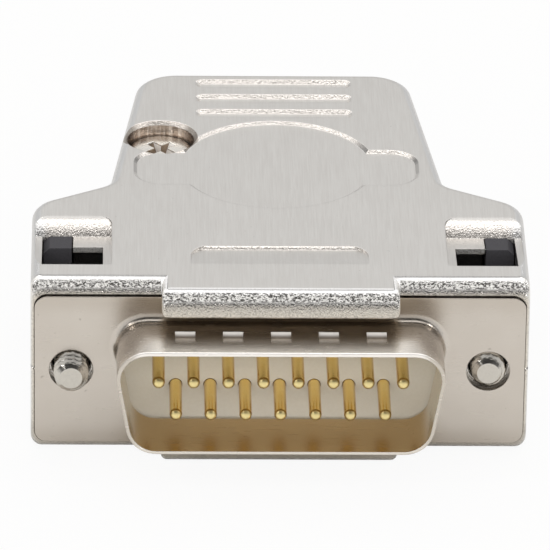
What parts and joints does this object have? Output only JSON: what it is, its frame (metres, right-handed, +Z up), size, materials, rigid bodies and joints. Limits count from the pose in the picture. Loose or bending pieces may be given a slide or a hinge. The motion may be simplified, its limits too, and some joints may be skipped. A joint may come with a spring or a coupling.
{
  "type": "d-sub connector",
  "caption": "Straight metal cable plug with a D-shaped mouth of round contacts, captive jackscrews and a two-part cast hood.",
  "frame": {"origin": "centre of the pin field on the front face of the mounting flange", "axes": "-Y is the mating direction, +X runs along the rows of contacts, +Z is up, towards the longer row"},
  "size_m": [0.0398, 0.0453, 0.0152],
  "materials": {
    "hood_metal": "satin brushed nickel plate on a die casting",
    "sheet_metal": "smooth nickel plate on drawn steel",
    "screw_metal": "bright nickel plate",
    "clamp_metal": "as cast, nickel plated",
    "gold_contact": "polished gold plate on copper alloy",
    "insulator": "matt filled plastic",
    "black_plastic": "satin moulded plastic"
  },
  "bodies": {
    "hood": {"hood_top": "hood_metal", "hood_bottom": "hood_metal", "plug_shell": "sheet_metal", "rear_shell": "sheet_metal", "insulator_front": "insulator", "insulator_rear": "insulator", "hood_screw_top": "screw_metal", "hood_screw_bottom": "screw_metal", "screw_clip_left": "black_plastic", "screw_clip_right": "black_plastic", "clamp_upper": "clamp_metal", "clamp_lower": "clamp_metal", "clamp_screw_left": "screw_metal", "clamp_screw_right": "screw_metal", "pin_1": "gold_contact", "pin_2": "gold_contact", "pin_3": "gold_contact", "pin_4": "gold_contact", "pin_5": "gold_contact", "pin_6": "gold_contact", "pin_7": "gold_contact", "pin_8": "gold_contact", "pin_9": "gold_contact", "pin_10": "gold_contact", "pin_11": "gold_contact", "pin_12": "gold_contact", "pin_13": "gold_contact", "pin_14": "gold_contact", "pin_15": "gold_contact"},
    "ring_left": {"retaining_ring_left": "screw_metal"},
    "jackscrew_left": {"jackscrew_left": "screw_metal"},
    "ring_right": {"retaining_ring_right": "screw_metal"},
    "jackscrew_right": {"jackscrew_right": "screw_metal"}
  },
  "joints": [
    {"name": "jackscrew_left_float", "type": "slide", "parent": "hood", "child": "ring_left", "axis": [0, -1, 0], "range_m": [-0.0015, 0.0035]},
    {"name": "jackscrew_left_turn", "type": "hinge", "parent": "ring_left", "child": "jackscrew_left", "pos_m": [-0.01666, 0, 0], "axis": [0, -1, 0], "continuous": true},
    {"name": "jackscrew_right_float", "type": "slide", "parent": "hood", "child": "ring_right", "axis": [0, -1, 0], "range_m": [-0.0004, 0.0046]},
    {"name": "jackscrew_right_turn", "type": "hinge", "parent": "ring_right", "child": "jackscrew_right", "pos_m": [0.01666, 0, 0], "axis": [0, -1, 0], "continuous": true}
  ]
}
